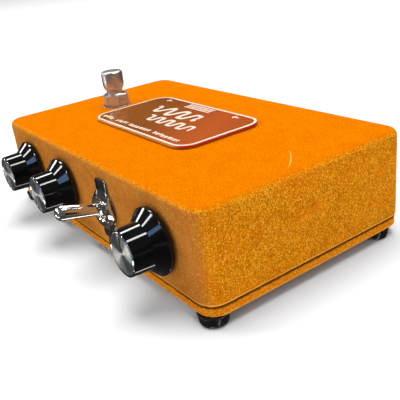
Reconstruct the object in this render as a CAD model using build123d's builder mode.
from build123d import *
import math
import os

# Guitar effects pedal: two-piece housing, three rotary controls and a toggle
# switch on the front face, a footswitch and a name plate on top, two plug sockets
# and a power socket on the rear face, with circuit board, battery and wiring inside.
#
# Frame: +X runs left to right as the player reads the plate, +Y points to the
# rear (socket) face, +Z is up. The origin is the centre of the footprint on the
# floor. All dimensions are millimetres.

os.makedirs("parts", exist_ok=True)

# ---------------------------------------------------------------- dimensions
# housing
WIDTH = 165.0        # along X
DEPTH = 95.2         # along Y
TOP_Z = 42.8         # top face
SEAM_Z = 8.0         # lower edge of the shell
BASE_Z = 4.0         # underside of the base plate
WALL = 2.0           # shell wall
FLOOR_T = 1.9        # base plate floor
CORNER_R = 7.4       # vertical corners
TOP_EDGE_R = 2.6     # rounding of the top edge
BOTTOM_EDGE_R = 0.5  # rounding of the lower edges of shell and base
BASE_INSET = 0.4     # base plate inset from the shell outline

FLOOR_TOP = BASE_Z + FLOOR_T
ROOF_Z = TOP_Z - WALL
FRONT_Y = -DEPTH / 2
REAR_Y = DEPTH / 2

# feet and base screws; the rear pair stands further in, clear of the sockets
FOOT_SPOTS = [(-76.6, -42.4), (76.6, -42.4), (-76.6, 37.2), (76.6, 37.2)]
FOOT_TOP_R, FOOT_BOTTOM_R = 5.6, 4.9
BOSS_R = 4.2
BOSS_BORE_R, BOSS_BORE_DEPTH = 1.55, 14.0
BASE_HOLE_R = 1.65

# threaded barrels: 3/8 inch (controls, plug sockets), 12 mm (toggle, power
# socket) and 10 mm (footswitch), each with its clearance hole
BUSH_R = 4.75
BUSH_HOLE_R = BUSH_R + 0.1
M12_R = 5.95
M12_HOLE_R = M12_R + 0.15
PIPE_R = 4.95
PIPE_HOLE_R = PIPE_R + 0.15
NUT_GAP = 0.05       # radial gap between a nut and its barrel
BUSH_NUT_FLATS, BUSH_NUT_T = 12.7, 2.3
BUSH_WASHER_R = 7.8
M12_NUT_FLATS = 14.0

# front face
CTRL_Z = 24.8        # height of the control row
KNOB_X = {"left": -53.1, "middle": -16.9, "right": 55.9}
KNOB_SPOTS = [(x, 0) for x in KNOB_X.values()]
TOGGLE_X = 19.3

# rear face; sketches there run along -X
JACK_Z = 24.8
JACK_X = {"input": 50.0, "output": -50.0}
JACK_SPOTS = [(-x, 0) for x in JACK_X.values()]
DC_X = 10.0          # power socket

# footswitch axis
FS_X, FS_Y = -53.1, 0.0
FS_SPOT = (FS_X, FS_Y)
FS_AXIS = Axis((FS_X, FS_Y, 0), (0, 0, 1))

# circuit board
PCB_CENTRE = (-9.0, 7.0)
PCB_W, PCB_D, PCB_T = 58.0, 46.0, 1.6
STANDOFF_H = 8.0
STANDOFF_DX, STANDOFF_DY = PCB_W - 8.0, PCB_D - 8.0
PCB_HOLE_R = 1.6
PCB_Z = FLOOR_TOP + STANDOFF_H
PCB_TOP = PCB_Z + PCB_T


# ---------------------------------------------------------------- planes
def front(out, x=0.0):
    """Plane parallel to the front face, `out` outward from it; local y is +Z."""
    return Plane(origin=(x, FRONT_Y - out, CTRL_Z), x_dir=(1, 0, 0), z_dir=(0, -1, 0))


def front_section(x):
    """Plane through a control axis; local x is the radius, local y is outward."""
    return Plane(origin=(x, FRONT_Y, CTRL_Z), x_dir=(1, 0, 0), z_dir=(0, 0, -1))


def front_axis(x):
    return Axis((x, FRONT_Y, CTRL_Z), (0, -1, 0))


def rear(out, x=0.0):
    """Plane parallel to the rear face, `out` outward from it; local x is -X."""
    return Plane(origin=(x, REAR_Y + out, JACK_Z), x_dir=(-1, 0, 0), z_dir=(0, 1, 0))


def rear_section(x):
    """Plane through a socket axis; local x is the radius, local y is outward."""
    return Plane(origin=(x, REAR_Y, JACK_Z), x_dir=(1, 0, 0), z_dir=(0, 0, 1))


def rear_axis(x):
    return Axis((x, REAR_Y, JACK_Z), (0, 1, 0))


def upright(x, y):
    """Vertical plane through (x, y); local y is the height above the floor."""
    return Plane(origin=(x, y, 0), x_dir=(1, 0, 0), z_dir=(0, -1, 0))


# ---------------------------------------------------------------- shared shapes
def hexagon_r(flats):
    """Corner radius of a hexagon from its width across flats."""
    return flats / 2 / math.cos(math.pi / 6)


def turned(plane, axis, outline):
    """Solid of revolution of a closed outline."""
    with BuildPart() as body:
        with BuildSketch(plane):
            with BuildLine():
                Polyline(*outline, close=True)
            make_face()
        revolve(axis=axis)
    return body.part


def washers(plane, spots, outer_r, bore_r, thickness):
    with BuildPart() as rings:
        with BuildSketch(plane):
            with Locations(*spots):
                Circle(outer_r)
                Circle(bore_r, mode=Mode.SUBTRACT)
        extrude(amount=thickness)
    return rings.part


def nuts(plane, spots, flats, bore_r, thickness):
    with BuildPart() as hexagons:
        with BuildSketch(plane):
            with Locations(*spots):
                RegularPolygon(hexagon_r(flats), 6)
                Circle(bore_r, mode=Mode.SUBTRACT)
        extrude(amount=thickness)
    return hexagons.part


def cross_screw(outline, recess_z, slot_length):
    """Screw standing head down, with a cross recess cut up from recess_z."""
    with BuildPart() as screw:
        with BuildSketch(upright(0, 0)):
            with BuildLine():
                Polyline(*outline, close=True)
            make_face()
        revolve(axis=Axis.Z)
        with BuildSketch(Plane.XY.offset(recess_z)):
            Rectangle(slot_length, 0.6)
            Rectangle(0.6, slot_length)
        extrude(amount=1.0, mode=Mode.SUBTRACT)
    return screw.part


def axial_component(outline, axis_z, lead_x, lead_r):
    """Body turned about X at height axis_z, on two upright leads at +-lead_x."""
    with BuildPart() as component:
        with BuildSketch(Plane(origin=(0, 0, axis_z), x_dir=(1, 0, 0), z_dir=(0, 0, 1))):
            with BuildLine():
                Polyline(*outline, close=True)
            make_face()
        revolve(axis=Axis((0, 0, axis_z), (1, 0, 0)))
        with BuildSketch(Plane.XY):
            with Locations((-lead_x, 0), (lead_x, 0)):
                Circle(lead_r)
        extrude(amount=axis_z)
    return component.part


def copies(part, spots):
    with BuildPart() as group:
        with Locations(*spots):
            add(part)
    return group.part


def on_board(part, spots):
    """Copies on top of the circuit board; spots are (x, y, turn in degrees)."""
    return copies(part, [Location((x, y, PCB_TOP), (0, 0, turn)) for x, y, turn in spots])


def swept_wires(runs, radius):
    """Round wires along splines through each run of points."""
    with BuildPart() as strands:
        for run in runs:
            with BuildLine() as path:
                Spline(*run)
            with BuildSketch(Plane(origin=path.line @ 0, z_dir=path.line % 0)):
                Circle(radius)
            sweep(path=path.line)
    return strands.part


# ---------------------------------------------------------------- housing
def top_shell():
    with BuildPart() as shell:
        with BuildSketch(Plane.XY.offset(SEAM_Z)):
            RectangleRounded(WIDTH, DEPTH, CORNER_R)
        extrude(amount=TOP_Z - SEAM_Z)
        fillet(shell.faces().sort_by(Axis.Z)[-1].edges(), radius=TOP_EDGE_R)
        fillet(shell.faces().sort_by(Axis.Z)[0].edges(), radius=BOTTOM_EDGE_R)
        # hollow
        with BuildSketch(Plane.XY.offset(SEAM_Z)):
            RectangleRounded(WIDTH - 2 * WALL, DEPTH - 2 * WALL, CORNER_R - WALL)
        extrude(amount=ROOF_Z - SEAM_Z, mode=Mode.SUBTRACT)
        # corner bosses for the base screws, run 0.5 into the roof
        with BuildSketch(Plane.XY.offset(SEAM_Z)):
            with Locations(*FOOT_SPOTS):
                Circle(BOSS_R)
        extrude(amount=ROOF_Z - SEAM_Z + 0.5)
        with BuildSketch(Plane.XY.offset(SEAM_Z)):
            with Locations(*FOOT_SPOTS):
                Circle(BOSS_BORE_R)
        extrude(amount=BOSS_BORE_DEPTH, mode=Mode.SUBTRACT)
        # control and toggle holes in the front face
        with BuildSketch(front(1.0)):
            with Locations(*KNOB_SPOTS):
                Circle(BUSH_HOLE_R)
            with Locations((TOGGLE_X, 0)):
                Circle(M12_HOLE_R)
        extrude(amount=-(WALL + 1.5), mode=Mode.SUBTRACT)
        # socket holes in the rear face
        with BuildSketch(rear(1.0)):
            with Locations(*JACK_SPOTS):
                Circle(BUSH_HOLE_R)
            with Locations((-DC_X, 0)):
                Circle(M12_HOLE_R)
        extrude(amount=-(WALL + 1.5), mode=Mode.SUBTRACT)
        # footswitch hole in the top
        with BuildSketch(Plane.XY.offset(ROOF_Z - 0.5)):
            with Locations(FS_SPOT):
                Circle(PIPE_HOLE_R)
        extrude(amount=WALL + 1.0, mode=Mode.SUBTRACT)
    return shell.part


RIM_W = 3.7                   # rim of the base plate, from the shell outline
LIP_T, LIP_H = 1.3, 2.4       # locating lips: thickness, height above the seam
LIP_INSET = 1.7               # inner wall to lip centres, both sides together
FRONT_LIP_L, SIDE_LIP_L = 134.0, 66.0


def base_plate():
    with BuildPart() as base:
        with BuildSketch(Plane.XY.offset(BASE_Z)):
            RectangleRounded(WIDTH - 2 * BASE_INSET, DEPTH - 2 * BASE_INSET, CORNER_R - BASE_INSET)
        extrude(amount=SEAM_Z - BASE_Z)
        fillet(base.faces().sort_by(Axis.Z)[0].edges(), radius=BOTTOM_EDGE_R)
        # tray inside the rim
        with BuildSketch(Plane.XY.offset(FLOOR_TOP)):
            RectangleRounded(WIDTH - 2 * RIM_W, DEPTH - 2 * RIM_W, CORNER_R - 3.2)
        extrude(amount=SEAM_Z - FLOOR_TOP, mode=Mode.SUBTRACT)
        # pads under the corner bosses
        with BuildSketch(Plane.XY.offset(FLOOR_TOP - 0.5)):
            with Locations(*FOOT_SPOTS):
                Circle(BOSS_R)
        extrude(amount=SEAM_Z - FLOOR_TOP + 0.5)
        # lips that locate the shell
        with BuildSketch(Plane.XY.offset(FLOOR_TOP)):
            with GridLocations(0, DEPTH - 2 * WALL - LIP_INSET, 1, 2):
                Rectangle(FRONT_LIP_L, LIP_T)
            with GridLocations(WIDTH - 2 * WALL - LIP_INSET, 0, 2, 1):
                Rectangle(LIP_T, SIDE_LIP_L)
        extrude(amount=SEAM_Z + LIP_H - FLOOR_TOP)
        # holes for the base screws and the circuit board screws
        with BuildSketch(Plane.XY.offset(BASE_Z - 1)):
            with Locations(*FOOT_SPOTS):
                Circle(BASE_HOLE_R)
            with Locations(PCB_CENTRE):
                with GridLocations(STANDOFF_DX, STANDOFF_DY, 2, 2):
                    Circle(PCB_HOLE_R)
        extrude(amount=SEAM_Z - BASE_Z + 2, mode=Mode.SUBTRACT)
    return base.part


def rubber_feet():
    # (radius, height), with a counterbore for the screw head
    outline = [
        (2.8, 0), (FOOT_BOTTOM_R - 0.4, 0), (FOOT_BOTTOM_R - 0.1, 0.15),
        (FOOT_BOTTOM_R + 0.05, 0.5), (FOOT_TOP_R, BASE_Z),
        (BASE_HOLE_R, BASE_Z), (BASE_HOLE_R, 2.6), (2.8, 2.6),
    ]
    return copies(turned(upright(0, 0), Axis.Z, outline), FOOT_SPOTS)


def base_screws():
    # (radius, height)
    outline = [
        (0, 0.9), (1.6, 0.9), (2.3, 1.3), (2.5, 1.9), (2.5, 2.6), (1.5, 2.6),
        (1.5, 17.5), (1.1, 18.0), (0, 18.0),
    ]
    return copies(cross_screw(outline, recess_z=0.8, slot_length=2.6), FOOT_SPOTS)


# ---------------------------------------------------------------- name plate
PLATE_CENTRE = (-2.6, 0.3)
PLATE_W, PLATE_D, PLATE_R = 75.3, 41.5, 7.7
PLATE_T = 1.2
ADHESIVE_T = 0.2
ADHESIVE_INSET = 1.0


def nameplate_adhesive():
    with BuildPart() as adhesive:
        with BuildSketch(Plane.XY.offset(TOP_Z)):
            with Locations(PLATE_CENTRE):
                RectangleRounded(PLATE_W - 2 * ADHESIVE_INSET, PLATE_D - 2 * ADHESIVE_INSET,
                                 PLATE_R - ADHESIVE_INSET)
        extrude(amount=ADHESIVE_T)
    return adhesive.part


def nameplate():
    with BuildPart() as plate:
        with BuildSketch(Plane.XY.offset(TOP_Z + ADHESIVE_T)):
            with Locations(PLATE_CENTRE):
                RectangleRounded(PLATE_W, PLATE_D, PLATE_R)
        extrude(amount=PLATE_T)
        fillet(plate.faces().sort_by(Axis.Z)[-1].edges(), radius=0.2)
    return plate.part


# ---------------------------------------------------------------- rotary controls
SHAFT_R = 3.175               # quarter inch shaft
POT_FRAME_T = 1.4             # flange of the bushing, against the inner wall
POT_FRONT = -WALL - POT_FRAME_T   # where the can starts, outward from the face
CAN_R, CAN_DEPTH = 12.0, 9.2
TONGUE_DROP = 10.0            # terminal tongue centre below the axis
LUG_DROP = 13.2               # lug centre below the axis
LUG_PITCH = 5
POT_WASHER_T = 0.5

KNOB_R = 8.15                 # knob barrel at its front face
SKIRT_R = 12.25
KNOB_FRONT = 13.5             # knob front face, outward from the housing face
KNOB_FLOOR = KNOB_FRONT - 0.5     # floor of the recess for the insert
SET_SCREW_OUT = 9.2           # set screw axis, outward from the housing face
SET_SCREW_L = 4.0
SET_SCREW_GAP = 0.02          # from the shaft


def pot_bushings():
    with BuildPart() as bushings:
        with BuildSketch(front(POT_FRONT)):
            with Locations(*KNOB_SPOTS):
                Circle(11.6)
        extrude(amount=POT_FRAME_T)
        with BuildSketch(front(-WALL - 0.2)):
            with Locations(*KNOB_SPOTS):
                Circle(BUSH_R)
        extrude(amount=6.2 + WALL)
        with BuildSketch(front(-WALL - 2.0)):
            with Locations(*KNOB_SPOTS):
                Circle(SHAFT_R + 0.06)
        extrude(amount=12.0, mode=Mode.SUBTRACT)
    return bushings.part


def pot_cans():
    with BuildPart() as cans:
        with BuildSketch(front(POT_FRONT)):
            with Locations(*KNOB_SPOTS):
                Circle(CAN_R)
        extrude(amount=-CAN_DEPTH)
        fillet(cans.faces().sort_by(Axis.Y)[-3:].edges(), radius=0.8)
        with BuildSketch(front(POT_FRONT)):
            with Locations(*KNOB_SPOTS):
                Circle(CAN_R - 0.7)
        extrude(amount=-(CAN_DEPTH - 0.6), mode=Mode.SUBTRACT)
        # window for the terminal tongue
        with BuildSketch(front(POT_FRONT)):
            with Locations(*[(x, -TONGUE_DROP) for x in KNOB_X.values()]):
                Rectangle(16.6, 8.0)
        extrude(amount=-2.2, mode=Mode.SUBTRACT)
    return cans.part


def pot_wafers():
    with BuildPart() as wafers:
        with BuildSketch(front(-WALL - 2.8)):
            with Locations(*KNOB_SPOTS):
                Circle(11.1)
            with Locations(*[(x, -TONGUE_DROP) for x in KNOB_X.values()]):
                Rectangle(16.0, 7.6)
            with Locations(*KNOB_SPOTS):
                Circle(4.2, mode=Mode.SUBTRACT)
        extrude(amount=1.2)
    return wafers.part


def pot_lugs():
    with BuildPart() as lugs:
        for x in KNOB_X.values():
            with BuildSketch(front(-WALL - 3.3)):
                with Locations((x - LUG_PITCH, -LUG_DROP), (x, -LUG_DROP),
                               (x + LUG_PITCH, -LUG_DROP)):
                    SlotOverall(7.2, 2.2, rotation=90)
                    with Locations((0, -2.2)):
                        Circle(0.6, mode=Mode.SUBTRACT)
            extrude(amount=0.5)
    return lugs.part


def pot_washers():
    return washers(front(0.0), KNOB_SPOTS, BUSH_WASHER_R, BUSH_HOLE_R, POT_WASHER_T)


def pot_nuts():
    return nuts(front(POT_WASHER_T), KNOB_SPOTS, BUSH_NUT_FLATS, BUSH_R + NUT_GAP, BUSH_NUT_T)


def pot_shaft(x):
    """Shaft with the rotor that carries the wiper."""
    # (radius, outward)
    outline = [
        (0, -11.3), (SHAFT_R - 0.4, -11.3), (SHAFT_R - 0.4, -9.0), (9.4, -9.0),
        (9.4, -6.9), (8.0, -6.9), (8.0, -5.5), (6.6, -5.5), (6.6, -6.9), (SHAFT_R, -6.9),
        (SHAFT_R, 11.6), (SHAFT_R - 0.4, 12.0), (0, 12.0),
    ]
    return turned(front_section(x), front_axis(x), outline)


def set_screw_plane(x, drop=0.0):
    """Plane on the set screw axis, `drop` below the shaft axis, facing down."""
    return Plane(origin=(x, FRONT_Y - SET_SCREW_OUT, CTRL_Z - drop),
                 x_dir=(1, 0, 0), z_dir=(0, 0, -1))


def knob(x):
    """Skirted knob, hollow behind for the nut and bushing."""
    # (radius, outward)
    outline = [
        (11.2, 0.9), (12.0, 0.9), (SKIRT_R, 1.15), (SKIRT_R, 2.3), (12.05, 2.65),
        (8.65, 6.05), (8.5, 6.3), (KNOB_R, KNOB_FRONT - 0.35),
        (KNOB_R - 0.3, KNOB_FRONT), (7.65, KNOB_FRONT), (7.65, KNOB_FLOOR),
        (0, KNOB_FLOOR), (0, 12.2), (SHAFT_R + 0.05, 12.2), (SHAFT_R + 0.05, 6.7),
        (5.3, 6.7), (5.3, 3.6), (8.0, 3.6), (8.0, 2.4), (11.2, 2.4),
    ]
    with BuildPart() as body:
        with BuildSketch(front_section(x)):
            with BuildLine():
                Polyline(*outline, close=True)
            make_face()
        revolve(axis=front_axis(x))
        # cross hole for the set screw, on the side opposite the pointer
        with BuildSketch(set_screw_plane(x)):
            Circle(1.55)
        extrude(amount=KNOB_R + 1, mode=Mode.SUBTRACT)
    return body.part


def knob_insert(x):
    # (radius, outward)
    outline = [
        (0, KNOB_FLOOR), (7.6, KNOB_FLOOR), (7.6, KNOB_FRONT),
        (7.35, KNOB_FRONT + 0.25), (6.45, KNOB_FRONT + 0.25), (6.25, KNOB_FRONT + 0.1),
        (0, KNOB_FRONT + 0.1),
    ]
    with BuildPart() as insert:
        with BuildSketch(front_section(x)):
            with BuildLine():
                Polyline(*outline, close=True)
            make_face()
        revolve(axis=front_axis(x))
        # pointer groove
        with BuildSketch(front(KNOB_FRONT + 0.3, x)):
            with Locations((0, 3.75)):
                Rectangle(0.9, 4.8)
        extrude(amount=-0.4, mode=Mode.SUBTRACT)
    return insert.part


def knob_set_screw(x):
    start = SHAFT_R + SET_SCREW_GAP
    with BuildPart() as screw:
        with BuildSketch(set_screw_plane(x, drop=start)):
            Circle(1.5)
        extrude(amount=SET_SCREW_L)
        # hexagon socket
        with BuildSketch(set_screw_plane(x, drop=start + SET_SCREW_L)):
            RegularPolygon(0.8, 6)
        extrude(amount=-1.4, mode=Mode.SUBTRACT)
    return screw.part


# ---------------------------------------------------------------- toggle switch
# "out" values run outward from the front face
TOGGLE_PLATE_T = 0.8
TOGGLE_BODY_OUT = -6.2        # outer face of the body
TOGGLE_BODY_W, TOGGLE_BODY_H = 16.0, 28.0
TOGGLE_BODY_DEPTH, TOGGLE_CAVITY_DEPTH = 14.0, 10.0
PIVOT_OUT = -0.55             # lever pivot
SEAT_R, MOUTH_R = 3.76, 3.4   # ball seat and its mouth
BARREL_OUT = 2.9              # outer end of the bushing

LEVER_TILT = 14.0             # above the horizontal, degrees
LEVER_LEN = 18.3              # pivot to centre of the ball end
BALL_R = 3.7                  # pivot ball
TIP_R = 2.95                  # ball end
TAIL_R, STEM_R = 1.5, 2.4     # where tail and stem leave the pivot ball

ROCKER_TILT = 10.0            # degrees
ROCKER_OUT = -12.6


def toggle_plate():
    with BuildPart() as plate:
        with BuildSketch(front(0.0, TOGGLE_X)):
            Circle(7.9)
            RectangleRounded(8.6, 24.4, 1.6)
            Circle(M12_HOLE_R, mode=Mode.SUBTRACT)
        extrude(amount=TOGGLE_PLATE_T)
        outer_face = plate.faces().sort_by(Axis.Y)[0]
        fillet(outer_face.edges().filter_by(GeomType.LINE), radius=0.25)
    return plate.part


def toggle_nut():
    with BuildPart() as nut:
        with BuildSketch(front(TOGGLE_PLATE_T, TOGGLE_X)):
            RegularPolygon(hexagon_r(14.3), 6)
            Circle(M12_R + NUT_GAP, mode=Mode.SUBTRACT)
        extrude(amount=2.0)
        # crowned corners
        with BuildSketch(front_section(TOGGLE_X)):
            with BuildLine():
                Polyline((7.3, 2.9), (9.0, 2.9), (9.0, 1.6), (8.4, 1.95), (7.3, 2.8), close=True)
            make_face()
        revolve(axis=front_axis(TOGGLE_X), mode=Mode.SUBTRACT)
    return nut.part


def toggle_bushing():
    """Bushing and frame plate of the switch, with the lever's ball seat."""
    mouth_out = PIVOT_OUT + math.sqrt(SEAT_R ** 2 - MOUTH_R ** 2)
    bore_start = TOGGLE_BODY_OUT - 0.1
    bore_end = BARREL_OUT + 0.1
    with BuildPart() as bushing:
        with BuildSketch(front(TOGGLE_BODY_OUT, TOGGLE_X)):
            Rectangle(TOGGLE_BODY_W, TOGGLE_BODY_H)
        extrude(amount=1.0)
        with BuildSketch(front(-5.4, TOGGLE_X)):
            Circle(M12_R)
        extrude(amount=5.4 + BARREL_OUT)
        # bore, narrowing over the ball and flaring at the mouth
        with BuildSketch(front_section(TOGGLE_X)):
            with BuildLine():
                Polyline((0, bore_start), (SEAT_R, bore_start), (SEAT_R, PIVOT_OUT))
                RadiusArc((SEAT_R, PIVOT_OUT), (MOUTH_R, mouth_out), -SEAT_R)
                Polyline((MOUTH_R, mouth_out), (4.5, bore_end), (0, bore_end), (0, bore_start))
            make_face()
        revolve(axis=front_axis(TOGGLE_X), mode=Mode.SUBTRACT)
        # bevel on the outer rim
        with BuildSketch(front_section(TOGGLE_X)):
            with BuildLine():
                Polyline((5.5, 2.95), (6.2, 2.95), (6.2, 2.3), close=True)
            make_face()
        revolve(axis=front_axis(TOGGLE_X), mode=Mode.SUBTRACT)
    return bushing.part


def toggle_body():
    with BuildPart() as body:
        with BuildSketch(front(TOGGLE_BODY_OUT, TOGGLE_X)):
            RectangleRounded(TOGGLE_BODY_W, TOGGLE_BODY_H, 1.0)
        extrude(amount=-TOGGLE_BODY_DEPTH)
        with BuildSketch(front(TOGGLE_BODY_OUT, TOGGLE_X)):
            Rectangle(TOGGLE_BODY_W - 5.0, TOGGLE_BODY_H - 5.0)
        extrude(amount=-TOGGLE_CAVITY_DEPTH, mode=Mode.SUBTRACT)
    return body.part


def toggle_lever():
    """Bat lever: tail, ball, tapered stem and ball end, drawn about its own axis."""
    tilt = math.radians(LEVER_TILT)
    direction = Vector(0, -math.cos(tilt), math.sin(tilt))
    pivot = Vector(TOGGLE_X, FRONT_Y - PIVOT_OUT, CTRL_Z)
    plane = Plane(origin=pivot, x_dir=(1, 0, 0), z_dir=Vector(1, 0, 0).cross(direction))
    tail_end = (TAIL_R, -BALL_R * math.cos(math.asin(TAIL_R / BALL_R)))
    stem_start = (STEM_R, BALL_R * math.cos(math.asin(STEM_R / BALL_R)))
    tip_diagonal = TIP_R * math.sin(math.pi / 4)
    with BuildPart() as lever:
        with BuildSketch(plane):
            with BuildLine():
                Polyline((0, -7.4), (0.8, -7.4), (1.2, -7.0), (TAIL_R, -4.5), tail_end)
                ThreePointArc(tail_end, (BALL_R, 0), stem_start)
                Spline(stem_start, (2.45, 7.0), (2.68, 13.0), (TIP_R, LEVER_LEN))
                ThreePointArc((TIP_R, LEVER_LEN), (tip_diagonal, LEVER_LEN + tip_diagonal),
                              (0, LEVER_LEN + TIP_R))
                Line((0, LEVER_LEN + TIP_R), (0, -7.4))
            make_face()
        revolve(axis=Axis(pivot, direction))
    return lever.part


def toggle_rocker():
    """Rocking contact blade, tilted behind the lever's tail."""
    tilt = math.radians(ROCKER_TILT)
    plane = Plane(origin=(TOGGLE_X, FRONT_Y - ROCKER_OUT, CTRL_Z), x_dir=(1, 0, 0),
                  z_dir=(0, -math.cos(tilt), -math.sin(tilt)))
    with BuildPart() as rocker:
        with BuildSketch(plane.offset(-0.4)):
            RectangleRounded(5.0, 17.0, 1.0)
        extrude(amount=0.8)
        # raised walls above and below the lever's tail
        with BuildSketch(plane.offset(0.3)):
            with Locations((0, 4.6), (0, -4.6)):
                Rectangle(4.0, 0.8)
        extrude(amount=1.2)
        # fulcrum bead
        with BuildSketch(plane.offset(-0.3)):
            Rectangle(4.0, 1.6)
        extrude(amount=-0.9)
    return rocker.part


def toggle_lugs():
    """Terminals: tags behind the body, contact heads on the cavity floor."""
    cavity_floor = TOGGLE_BODY_OUT - TOGGLE_CAVITY_DEPTH
    with BuildPart() as lugs:
        with BuildSketch(front(TOGGLE_BODY_OUT - TOGGLE_BODY_DEPTH, TOGGLE_X)):
            with Locations((0, -9.0), (0, 0), (0, 9.0)):
                Rectangle(3.6, 0.9)
        extrude(amount=-5.6)
        with BuildSketch(front(cavity_floor, TOGGLE_X)):
            with Locations((0, -7.6), (0, 7.6)):
                Circle(1.6)
        extrude(amount=0.7)
        with BuildSketch(front(cavity_floor, TOGGLE_X)):
            Rectangle(3.4, 1.4)
        extrude(amount=1.9)
    return lugs.part


# ---------------------------------------------------------------- footswitch
FS_WASHER_T = 0.5
FS_BODY_TOP = 33.0
FS_BODY_W, FS_BODY_H = 17.2, 15.4
FS_FRAME_T = 1.0
FS_CAVITY_FLOOR = FS_BODY_TOP - 11.4
FS_CAVITY_W = 13.6
FS_BORE_R = 4.06
FS_CAP_R = 5.25
CAP_BOTTOM, CAP_TOP = TOP_Z + 8.1, TOP_Z + 17.3
PLUNGER_FLANGE_Z = 30.4       # underside of the plunger's flange
SPRING_WIRE_R = 0.35
SPRING_R = 3.6
SPRING_TURNS = 5


def footswitch_washer():
    return washers(Plane.XY.offset(TOP_Z), [FS_SPOT], 6.9, PIPE_HOLE_R, FS_WASHER_T)


def footswitch_nut():
    """Tall hexagon nut with crowned corners."""
    with BuildPart() as nut:
        with BuildSketch(Plane.XY.offset(TOP_Z + FS_WASHER_T)):
            with Locations(FS_SPOT):
                RegularPolygon(hexagon_r(11.6), 6)
                Circle(PIPE_R + NUT_GAP, mode=Mode.SUBTRACT)
        extrude(amount=5.4)
        with BuildSketch(upright(FS_X, FS_Y)):
            with BuildLine():
                Polyline((5.8, TOP_Z + 6.0), (7.2, TOP_Z + 6.0), (7.2, TOP_Z + 4.8),
                         (6.8, TOP_Z + 5.2), (5.8, TOP_Z + 5.85), close=True)
            make_face()
        revolve(axis=FS_AXIS, mode=Mode.SUBTRACT)
    return nut.part


def switch_back_nuts():
    """Nuts inside the housing, on the footswitch and the toggle switch."""
    thickness = 2.4
    with BuildPart() as back_nuts:
        with BuildSketch(Plane.XY.offset(ROOF_Z - thickness)):
            with Locations(FS_SPOT):
                RegularPolygon(hexagon_r(13.0), 6)
                Circle(PIPE_R + NUT_GAP, mode=Mode.SUBTRACT)
        extrude(amount=thickness)
        with BuildSketch(front(-WALL, TOGGLE_X)):
            RegularPolygon(hexagon_r(M12_NUT_FLATS), 6)
            Circle(M12_R + NUT_GAP, mode=Mode.SUBTRACT)
        extrude(amount=-thickness)
    return back_nuts.part


def footswitch_bushing():
    with BuildPart() as bushing:
        with BuildSketch(Plane.XY.offset(FS_BODY_TOP)):
            with Locations(FS_SPOT):
                RectangleRounded(FS_BODY_W, FS_BODY_W, 1.0)
        extrude(amount=FS_FRAME_T)
        with BuildSketch(Plane.XY.offset(FS_BODY_TOP + 0.5)):
            with Locations(FS_SPOT):
                Circle(PIPE_R)
        extrude(amount=TOP_Z + 6.4 - FS_BODY_TOP - 0.5)
        chamfer(bushing.faces().sort_by(Axis.Z)[-1].edges(), length=0.35)
        with BuildSketch(Plane.XY.offset(FS_BODY_TOP - 1)):
            with Locations(FS_SPOT):
                Circle(FS_BORE_R)
        extrude(amount=20, mode=Mode.SUBTRACT)
    return bushing.part


def footswitch_body():
    with BuildPart() as body:
        with BuildSketch(Plane.XY.offset(FS_BODY_TOP - FS_BODY_H)):
            with Locations(FS_SPOT):
                RectangleRounded(FS_BODY_W, FS_BODY_W, 1.0)
        extrude(amount=FS_BODY_H)
        with BuildSketch(Plane.XY.offset(FS_CAVITY_FLOOR)):
            with Locations(FS_SPOT):
                RectangleRounded(FS_CAVITY_W, FS_CAVITY_W, 1.0)
        extrude(amount=12, mode=Mode.SUBTRACT)
    return body.part


def footswitch_plunger():
    """Stem with a flange under the bushing and a rounded cap on top."""
    flange_top = FS_BODY_TOP - 0.1
    rim_start = (FS_CAP_R, CAP_TOP - 1.9)
    rim_end = (FS_CAP_R - 2.1, CAP_TOP - 0.1)
    with BuildPart() as plunger:
        with BuildSketch(upright(FS_X, FS_Y)):
            with BuildLine():
                Polyline((0, 27.4), (2.2, 27.4), (2.2, PLUNGER_FLANGE_Z), (5.6, PLUNGER_FLANGE_Z),
                         (5.6, flange_top), (4.0, flange_top), (4.0, CAP_BOTTOM),
                         (4.15, CAP_BOTTOM), (4.45, CAP_BOTTOM + 0.5),
                         (FS_CAP_R - 0.2, CAP_BOTTOM + 2.6), (FS_CAP_R, CAP_BOTTOM + 4.2),
                         rim_start)
                ThreePointArc(rim_start, (FS_CAP_R - 0.62, CAP_TOP - 0.62), rim_end)
                Polyline(rim_end, (0, CAP_TOP), (0, 27.4))
            make_face()
        revolve(axis=FS_AXIS)
    return plunger.part


def footswitch_spring():
    """Coil between the cavity floor and the plunger's flange."""
    bottom = FS_CAVITY_FLOOR + SPRING_WIRE_R + 0.05
    height = PLUNGER_FLANGE_Z - SPRING_WIRE_R - 0.05 - bottom
    with BuildPart() as spring:
        with BuildLine() as coil:
            Helix(pitch=height / SPRING_TURNS, height=height, radius=SPRING_R,
                  center=(FS_X, FS_Y, bottom))
        with BuildSketch(Plane(origin=coil.line @ 0, z_dir=coil.line % 0)):
            Circle(SPRING_WIRE_R)
        sweep(path=coil.line, is_frenet=True)
    return spring.part


def footswitch_lugs():
    with BuildPart() as lugs:
        with BuildSketch(Plane.XY.offset(FS_BODY_TOP - FS_BODY_H)):
            with Locations(FS_SPOT):
                with GridLocations(5.3, 4.8, 3, 3):
                    Rectangle(0.8, 2.4)
        extrude(amount=-4.6)
    return lugs.part


# ---------------------------------------------------------------- sockets
PLUG_BORE_R = 3.25            # quarter inch plug
JACK_FRAME_T = 1.2
JACK_WASHER_T = 0.6
CONTACT_W = 5.0
CONTACT_DROP = 9.6            # root of the contact leaf below the socket axis
# leaf outline: (y, z) from its root on the frame plate
CONTACT_OUTLINE = [
    (0, 0), (-12.0, 0), (-19.0, 4.6), (-21.0, 6.0), (-23.4, 4.2),
    (-23.1, 3.8), (-21.0, 5.4), (-18.8, 4.1), (-12.0, -0.5), (0, -0.5),
]


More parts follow.
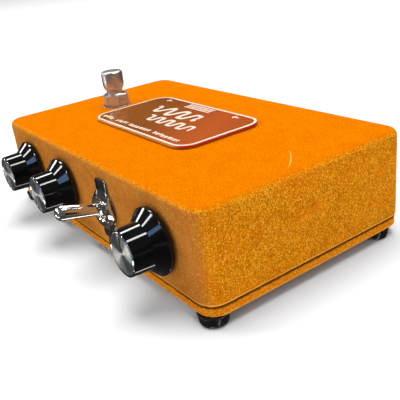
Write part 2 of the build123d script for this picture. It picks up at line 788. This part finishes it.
def jack(x):
    """Plug socket: frame plate and threaded barrel."""
    with BuildPart() as socket:
        with BuildSketch(rear(-WALL - JACK_FRAME_T, x)):
            with Locations((0, -2.0)):
                RectangleRounded(14.0, 20.0, 1.5)
        extrude(amount=JACK_FRAME_T)
        with BuildSketch(rear(-WALL - 0.4, x)):
            Circle(BUSH_R)
        extrude(amount=WALL + 0.4 + 6.6)
        chamfer(socket.faces().sort_by(Axis.Y)[-1].edges(), length=0.4)
        with BuildSketch(rear(-WALL - 2.0, x)):
            Circle(PLUG_BORE_R)
        extrude(amount=12.0, mode=Mode.SUBTRACT)
    return socket.part


def jack_washers():
    return washers(rear(0.0), JACK_SPOTS, BUSH_WASHER_R, BUSH_HOLE_R, JACK_WASHER_T)


def jack_nuts():
    return nuts(rear(JACK_WASHER_T), JACK_SPOTS, BUSH_NUT_FLATS, BUSH_R + NUT_GAP, BUSH_NUT_T)


def jack_contacts():
    """One long bent leaf on each frame plate."""
    root_y = REAR_Y - WALL - JACK_FRAME_T
    root_z = JACK_Z - CONTACT_DROP
    outline = [(root_y + y, root_z + z) for y, z in CONTACT_OUTLINE]
    with BuildPart() as contacts:
        for x in JACK_X.values():
            with BuildSketch(Plane(origin=(x - CONTACT_W / 2, 0, 0),
                                   x_dir=(0, 1, 0), z_dir=(1, 0, 0))):
                with BuildLine():
                    Polyline(*outline, close=True)
                make_face()
            extrude(amount=CONTACT_W)
    return contacts.part


def dc_jack():
    """Power socket: flanged barrel with a closed inner end and two tags."""
    # (radius, outward)
    outline = [
        (2.8, 2.2), (6.2, 2.2), (7.0, 1.5), (7.0, 0.0), (M12_R, 0.0), (M12_R, -10.0),
        (0, -10.0), (0, -8.0), (1.0, -8.0), (2.8, -8.0),
    ]
    with BuildPart() as socket:
        with BuildSketch(rear_section(DC_X)):
            with BuildLine():
                Polyline(*outline, close=True)
            make_face()
        revolve(axis=rear_axis(DC_X))
        with BuildSketch(rear(-8.2, DC_X)):
            with Locations((-3.0, 0), (3.0, 0)):
                Rectangle(0.6, 2.4)
        extrude(amount=-6.4)
    return socket.part


def dc_jack_pin():
    # (radius, outward)
    outline = [(0, -8.0), (1.05, -8.0), (1.05, 0.9), (0.7, 1.3), (0, 1.3)]
    return turned(rear_section(DC_X), rear_axis(DC_X), outline)


def dc_jack_nut():
    return nuts(rear(-WALL, DC_X), [(0, 0)], M12_NUT_FLATS, M12_R + NUT_GAP, -2.5)


# ---------------------------------------------------------------- circuit board
# component places on the board: (x, y, turn in degrees)
TRANSISTOR_SPOTS = [(-28, -6, 0), (-28, 8, 90), (-12, 18, 0), (4, 8, 90), (8, -6, 180)]
ELECTROLYTIC_SPOTS = [(-20, -9, 0), (-20, 24, 0), (0, 22, 0), (14, 10, 0), (14, 20, 0)]
FILM_SPOTS = [
    (-10, -9, 0), (0, -9, 0), (-33, 1, 90), (-20, 8, 90), (-12, 8, 0), (-4, 14, 0),
]
RESISTOR_SPOTS = [
    (-8, -2, 0), (-8, 2, 0), (8, 2, 0), (-19, 1, 0), (-28, 15, 0), (-28, 18.5, 0),
    (-28, 22, 0), (-10, 24, 0), (-10, 27, 0), (6, 15, 90), (0, 5, 0), (6, 26.4, 0),
    (-18, 14.2, 0),
]
DIODE_SPOTS = [(16, 3, 0), (-19, -2.6, 0)]


def main_pcb():
    with BuildPart() as board:
        with BuildSketch(Plane.XY.offset(PCB_Z)):
            with Locations(PCB_CENTRE):
                RectangleRounded(PCB_W, PCB_D, 1.5)
                with GridLocations(STANDOFF_DX, STANDOFF_DY, 2, 2):
                    Circle(PCB_HOLE_R, mode=Mode.SUBTRACT)
        extrude(amount=PCB_T)
    return board.part


def pcb_standoffs():
    with BuildPart() as standoffs:
        with BuildSketch(Plane.XY.offset(FLOOR_TOP)):
            with Locations(PCB_CENTRE):
                with GridLocations(STANDOFF_DX, STANDOFF_DY, 2, 2):
                    RegularPolygon(hexagon_r(5.5), 6)
                    Circle(1.55, mode=Mode.SUBTRACT)
        extrude(amount=STANDOFF_H)
    return standoffs.part


def pcb_screws():
    """Screws up through the base plate and down through the board."""
    # (radius, height)
    outline = [
        (0, -1.9), (1.6, -1.9), (2.4, -1.4), (2.7, -0.6), (2.7, 0), (1.5, 0),
        (1.5, 5.0), (0, 5.0),
    ]
    screw = cross_screw(outline, recess_z=-2.0, slot_length=2.8)
    with BuildPart() as screws:
        with Locations(Location((*PCB_CENTRE, BASE_Z))):
            with GridLocations(STANDOFF_DX, STANDOFF_DY, 2, 2):
                add(screw)
        with Locations(Location((*PCB_CENTRE, PCB_TOP), (180, 0, 0))):
            with GridLocations(STANDOFF_DX, STANDOFF_DY, 2, 2):
                add(screw)
    return screws.part


def transistors():
    """Round cases with one flat side, each on three leads."""
    with BuildPart() as transistor:
        with BuildSketch(Plane.XY.offset(2.4)):
            Circle(2.4)
            with Locations((0, -2.4)):
                Rectangle(6, 2.0, mode=Mode.SUBTRACT)
        extrude(amount=4.7)
        with BuildSketch(Plane.XY):
            with Locations((-1.27, 0), (0, 0), (1.27, 0)):
                Rectangle(0.45, 0.45)
        extrude(amount=2.6)
    return on_board(transistor.part, TRANSISTOR_SPOTS)


def electrolytic_capacitors():
    # (radius, height)
    outline = [
        (0, 0), (2.9, 0), (3.1, 0.3), (3.1, 1.2), (2.8, 1.6), (3.1, 2.0), (3.1, 10.6),
        (2.8, 11.0), (2.2, 11.0), (2.2, 10.8), (0, 10.8),
    ]
    return on_board(turned(upright(0, 0), Axis.Z, outline), ELECTROLYTIC_SPOTS)


def film_capacitors():
    with BuildPart() as capacitor:
        with BuildSketch(Plane.XY):
            RectangleRounded(7.4, 3.0, 0.6)
        extrude(amount=6.8)
        fillet(capacitor.faces().sort_by(Axis.Z)[-1].edges(), radius=0.6)
    return on_board(capacitor.part, FILM_SPOTS)


def resistors():
    # dumbbell body: (along, radius)
    outline = [
        (-4.6, 0), (-4.6, 0.28), (-3.1, 0.28), (-3.0, 1.15), (-1.9, 1.2), (-1.6, 0.95),
        (1.6, 0.95), (1.9, 1.2), (3.0, 1.15), (3.1, 0.28), (4.6, 0.28), (4.6, 0),
    ]
    resistor = axial_component(outline, axis_z=1.4, lead_x=4.4, lead_r=0.28)
    return on_board(resistor, RESISTOR_SPOTS)


def diodes():
    # (along, radius)
    outline = [
        (-3.4, 0), (-3.4, 0.25), (-1.9, 0.25), (-1.7, 0.85), (1.7, 0.85), (1.9, 0.25),
        (3.4, 0.25), (3.4, 0),
    ]
    diode = axial_component(outline, axis_z=1.0, lead_x=3.2, lead_r=0.25)
    return on_board(diode, DIODE_SPOTS)


# ---------------------------------------------------------------- battery
BAT_X0, BAT_X1 = 28.0, 74.4
BAT_Y0, BAT_Y1 = -22.0, 4.5
BAT_Z0 = FLOOR_TOP + 0.85
BAT_H = 17.5
BAT_CX, BAT_CY = (BAT_X0 + BAT_X1) / 2, (BAT_Y0 + BAT_Y1) / 2
TERMINAL_X = 6.35             # battery terminals either side of the centre
CLIP_W, CLIP_T = 20.0, 0.8


def battery_end(gap=0.0):
    """Plane facing left, `gap` off the battery's left end; local x is -Y."""
    return Plane(origin=(BAT_X0 - gap, BAT_CY, BAT_Z0 + BAT_H / 2),
                 x_dir=(0, -1, 0), z_dir=(-1, 0, 0))


def battery():
    with BuildPart() as block:
        with BuildSketch(Plane.XY.offset(BAT_Z0)):
            with Locations((BAT_CX, BAT_CY)):
                Rectangle(BAT_X1 - BAT_X0, BAT_Y1 - BAT_Y0)
        extrude(amount=BAT_H)
        fillet(block.edges().filter_by(Axis.X), radius=2.0)
        # round and hexagonal terminals
        with BuildSketch(battery_end()):
            with Locations((-TERMINAL_X, 0)):
                Circle(2.8)
            with Locations((TERMINAL_X, 0)):
                RegularPolygon(3.6, 6)
        extrude(amount=2.0)
    return block.part


def battery_snap():
    with BuildPart() as snap:
        with BuildSketch(battery_end(gap=2.05)):
            RectangleRounded(25.0, 12.0, 3.0)
        extrude(amount=2.6)
    return snap.part


def battery_clip():
    """U-shaped cradle on the base plate, its lips flared outward."""
    inner = (BAT_Y1 - BAT_Y0) / 2 + 0.05
    outer = inner + CLIP_T
    flare_z = BAT_Z0 + 14.0
    with BuildPart() as clip:
        with BuildSketch(Plane(origin=(BAT_CX - CLIP_W / 2, BAT_CY, 0),
                               x_dir=(0, 1, 0), z_dir=(1, 0, 0))):
            with BuildLine():
                Polyline((-outer, FLOOR_TOP), (outer, FLOOR_TOP), (outer, flare_z),
                         (inner + 2.4, flare_z + 1.8), (inner + 1.8, flare_z + 2.3),
                         (inner, flare_z + 0.3), (inner, FLOOR_TOP + CLIP_T),
                         (-inner, FLOOR_TOP + CLIP_T), (-inner, flare_z + 0.3),
                         (-inner - 1.8, flare_z + 2.3), (-inner - 2.4, flare_z + 1.8),
                         (-outer, flare_z), close=True)
            make_face()
        extrude(amount=CLIP_W)
    return clip.part


# ---------------------------------------------------------------- wiring
LUG_Y = FRONT_Y + WALL + 4.5  # wire starts at the control lugs
LUG_Z = CTRL_Z - 16.0
PAD_Z = PCB_TOP + 0.7         # wire ends on the board
LEAD_PAD_Z = PCB_TOP + 0.8
LEFT_X, MIDDLE_X, RIGHT_X = KNOB_X.values()

# each run is a list of (x, y, z) points
WIRE_RUNS = [
    # control terminals to the board
    ((LEFT_X + LUG_PITCH, LUG_Y, LUG_Z), (-45, -34, 11.0), (-35, -22, 19.5),
     (-29.4, -14.2, PAD_Z)),
    ((LEFT_X, LUG_Y, LUG_Z), (-47, -31, 12.5), (-34, -19.5, 22.5), (-26.4, -14.2, PAD_Z)),
    ((MIDDLE_X - LUG_PITCH, LUG_Y, LUG_Z), (-23, -34, 11.0), (-23.5, -22, 20.0),
     (-23.4, -14.2, PAD_Z)),
    ((MIDDLE_X + LUG_PITCH, LUG_Y, LUG_Z), (-11.4, -34, 11.0), (-10, -22, 20.0),
     (-7.5, -13.5, PAD_Z)),
    ((RIGHT_X - LUG_PITCH, LUG_Y, LUG_Z), (44, -35, 11.5), (31, -27.5, 11.8),
     (14, -19.0, 20.5), (5.2, -13.2, PAD_Z)),
    # toggle terminals to the board
    ((TOGGLE_X, -20.4, CTRL_Z + 9.0), (TOGGLE_X - 2, -17, 33.0), (11, -13, 26.0),
     (8.4, -13.0, PAD_Z)),
    ((TOGGLE_X, -20.4, CTRL_Z), (TOGGLE_X - 0.9, -18.0, 24.0), (14.2, -16.6, 21.2),
     (11.4, -13.6, PAD_Z)),
    # footswitch terminals to the board
    ((FS_X + 5.3, 6.6, 12.0), (-44.5, 8.6, 10.8), (-41.0, 12, 14.5), (-39.0, 13.6, 18.6),
     (-36.0, 11.5, PAD_Z)),
    ((FS_X + 5.3, -6.6, 12.0), (-44.5, -8.6, 10.8), (-41.0, -10, 14.5), (-39.0, -9.6, 18.6),
     (-36.0, -7.0, PAD_Z)),
    # output socket to the footswitch, input and power sockets to the board
    ((JACK_X["output"], 29.5, JACK_Z - 11.0), (-48.5, 23, 12.0), (-51, 14, 10.4),
     (FS_X, 8.0, 12.0)),
    ((JACK_X["input"], 29.5, JACK_Z - 11.0), (44, 26, 12.5), (32, 25, 13.5),
     (23.5, 20.5, 19.0), (18.6, 16.2, PAD_Z)),
    ((DC_X + 3.0, 32.0, JACK_Z - 1.0), (DC_X + 3.5, 30.4, 23.4), (DC_X + 2, 29.0, 20.4),
     (DC_X + 1.0, 28.6, PAD_Z)),
]
BATTERY_RUNS = [
    ((BAT_X0 - 5.5, BAT_CY + 3.0, 19.0), (20.6, -3.4, 21.0), (19.8, 1.0, 20.5),
     (17.6, 6.4, LEAD_PAD_Z)),
    ((BAT_X0 - 5.5, BAT_CY - 3.0, 19.0), (20.8, -10.4, 21.5), (19.4, -7.6, 20.8),
     (17.4, -4.6, LEAD_PAD_Z)),
]


def wires():
    return swept_wires(WIRE_RUNS, radius=0.55)


def battery_leads():
    return swept_wires(BATTERY_RUNS, radius=0.6)


# ---------------------------------------------------------------- export
def save(part, name):
    part.label = name
    export_step(part, f"parts/{name}.step")


# pieces made once; each file takes its function's name
SINGLE_PIECES = [
    top_shell, base_plate, rubber_feet, base_screws, nameplate_adhesive, nameplate,
    pot_bushings, pot_cans, pot_wafers, pot_lugs, pot_washers, pot_nuts,
    toggle_plate, toggle_nut, toggle_bushing, toggle_body, toggle_lever, toggle_rocker,
    toggle_lugs, footswitch_washer, footswitch_nut, switch_back_nuts, footswitch_bushing,
    footswitch_body, footswitch_plunger, footswitch_spring, footswitch_lugs,
    jack_washers, jack_nuts, jack_contacts, dc_jack, dc_jack_pin, dc_jack_nut,
    main_pcb, pcb_standoffs, pcb_screws, transistors, electrolytic_capacitors,
    film_capacitors, resistors, diodes, battery, battery_snap, battery_clip,
    wires, battery_leads,
]
for piece in SINGLE_PIECES:
    save(piece(), piece.__name__)

for side, x in KNOB_X.items():
    for piece in (pot_shaft, knob, knob_insert, knob_set_screw):
        save(piece(x), f"{piece.__name__}_{side}")

for side, x in JACK_X.items():
    save(jack(x), f"{side}_jack")
